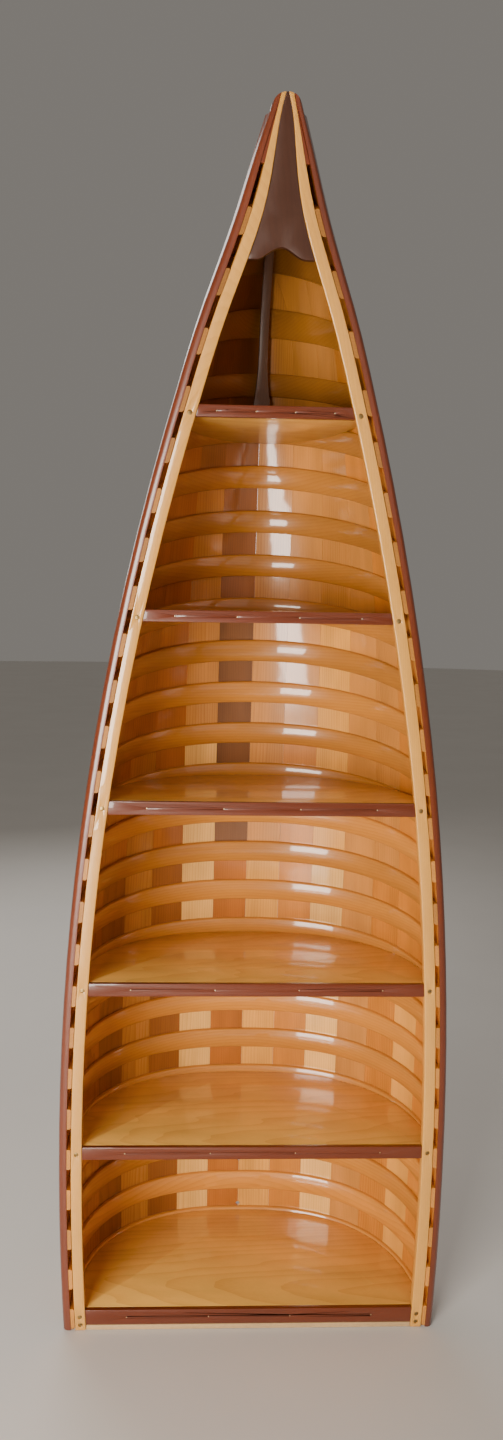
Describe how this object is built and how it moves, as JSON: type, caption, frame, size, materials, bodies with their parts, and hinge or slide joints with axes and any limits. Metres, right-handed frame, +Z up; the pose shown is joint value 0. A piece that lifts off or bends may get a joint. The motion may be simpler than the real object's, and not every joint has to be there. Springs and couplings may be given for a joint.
{
  "type": "half-canoe bookcase",
  "caption": "Tall bookcase made from the bow half of a rib-and-plank canoe, stood on its cut end, with shelves between the gunwales.",
  "frame": {"origin": "on the floor, on the underside of the base panel, in the centre plane", "axes": "+Z up towards the bow tip, +Y from the open side to the back of the hull, +X to the right of someone facing the shelves"},
  "size_m": [0.826, 0.593, 2.44],
  "materials": {
    "cedar_planking": "gloss varnish",
    "bent_rib": "gloss varnish",
    "ash_inwale": "gloss varnish",
    "mahogany_outwale": "gloss varnish",
    "mahogany_deck": "gloss varnish",
    "mahogany_edging": "gloss varnish",
    "shelf_plywood": "gloss varnish",
    "brass": "aged, unlacquered"
  },
  "bodies": {
    "root": {"base_panel": "shelf_plywood", "bow_deck": "mahogany_deck", "edging_brads": "brass", "inner_stem": "bent_rib", "inwale_left": "ash_inwale", "inwale_right": "ash_inwale", "inwale_screws": "brass", "outer_stem": "mahogany_outwale", "outwale_left": "mahogany_outwale", "outwale_right": "mahogany_outwale", "rib_01": "bent_rib", "rib_02": "bent_rib", "rib_03": "bent_rib", "rib_04": "bent_rib", "rib_05": "bent_rib", "rib_06": "bent_rib", "rib_07": "bent_rib", "rib_08": "bent_rib", "rib_09": "bent_rib", "rib_10": "bent_rib", "rib_11": "bent_rib", "rib_12": "bent_rib", "rib_13": "bent_rib", "rib_14": "bent_rib", "rib_15": "bent_rib", "rib_16": "bent_rib", "rib_17": "bent_rib", "rib_18": "bent_rib", "rib_19": "bent_rib", "rib_20": "bent_rib", "rib_21": "bent_rib", "rib_22": "bent_rib", "rib_23": "bent_rib", "rib_24": "bent_rib", "rib_25": "bent_rib", "shelf_1": "shelf_plywood", "shelf_2": "shelf_plywood", "shelf_3": "shelf_plywood", "shelf_4": "shelf_plywood", "shelf_5": "shelf_plywood", "shelf_6": "shelf_plywood", "shelf_edging_1": "mahogany_edging", "shelf_edging_2": "mahogany_edging", "shelf_edging_3": "mahogany_edging", "shelf_edging_4": "mahogany_edging", "shelf_edging_5": "mahogany_edging", "shelf_edging_6": "mahogany_edging", "strake_1": "cedar_planking", "strake_2": "cedar_planking", "strake_3": "cedar_planking", "strake_4": "cedar_planking", "strake_5": "cedar_planking", "strake_6": "cedar_planking", "strake_7": "cedar_planking", "strake_8": "cedar_planking"}
  },
  "joints": []
}
